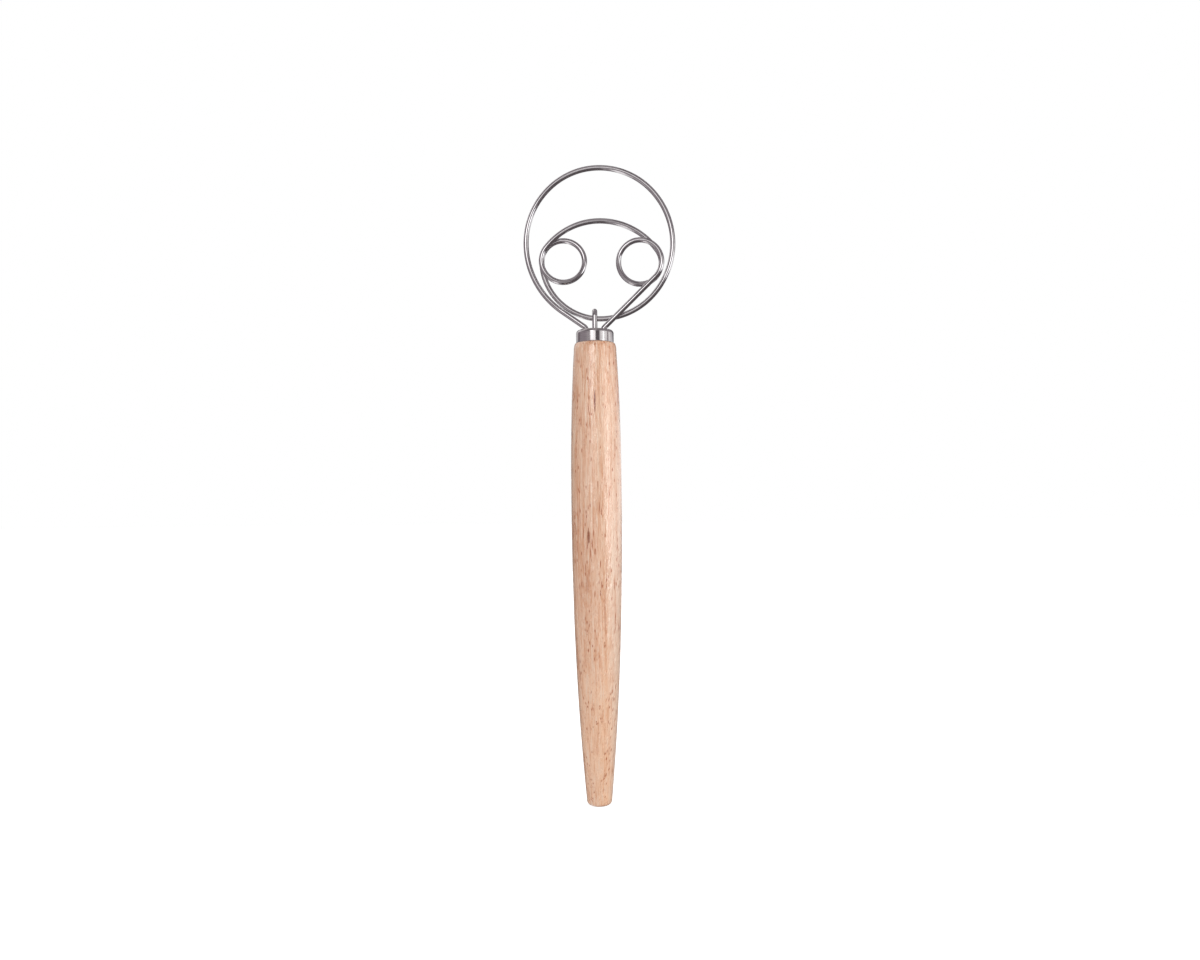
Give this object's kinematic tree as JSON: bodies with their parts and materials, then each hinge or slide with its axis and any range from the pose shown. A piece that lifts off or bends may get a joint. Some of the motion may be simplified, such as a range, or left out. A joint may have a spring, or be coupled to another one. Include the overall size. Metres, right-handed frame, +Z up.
{
  "type": "dough whisk",
  "caption": "Wooden-handled dough whisk with a flat head bent from one steel wire: an outer loop with an arch and two eyes inside, held by a keeper loop and a steel ferrule.",
  "frame": {"origin": "centre of the flat butt face of the handle", "axes": "+Z up the handle towards the wire head, front of the head towards -Y, +X to the right seen from the front"},
  "size_m": [0.0812, 0.027, 0.3406],
  "materials": {
    "wood": "clear lacquered light hardwood, semi-gloss",
    "wire_steel": "bright drawn stainless steel wire",
    "ferrule_steel": "polished stainless sheet steel",
    "glue": "cured epoxy, hidden inside the handle"
  },
  "bodies": {
    "root": {"handle": "wood", "ferrule": "ferrule_steel", "glue_plug": "glue", "keeper_loop": "wire_steel", "whisk_wire": "wire_steel"}
  },
  "joints": []
}
